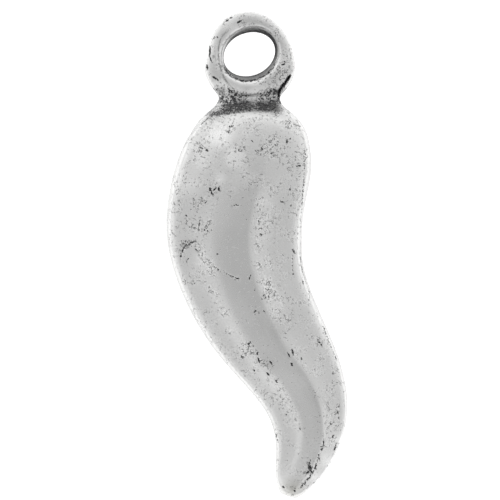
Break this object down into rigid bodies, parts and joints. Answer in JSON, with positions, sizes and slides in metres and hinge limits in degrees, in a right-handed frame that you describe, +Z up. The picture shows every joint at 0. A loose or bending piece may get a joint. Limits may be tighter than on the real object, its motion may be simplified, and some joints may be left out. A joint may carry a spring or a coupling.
{
  "type": "chili pepper charm",
  "caption": "Cast metal charm in the form of a curved chili pepper, with a middle rib between shallow folds, a narrow neck, and a loop with a round hole for a jump ring.",
  "frame": {"origin": "bottom centre of the bounding box, on the surface that the charm lies on", "axes": "+Z up from the surface and along the loop's hole, +Y from the tip towards the loop, +X to the right seen from above with the loop at the top"},
  "size_m": [0.0082, 0.022, 0.0044],
  "materials": {
    "antique_silver": "satin antique silver, with dark patina in the neck, the hole and the pits"
  },
  "bodies": {
    "root": {"pepper_charm": "antique_silver"}
  },
  "joints": []
}
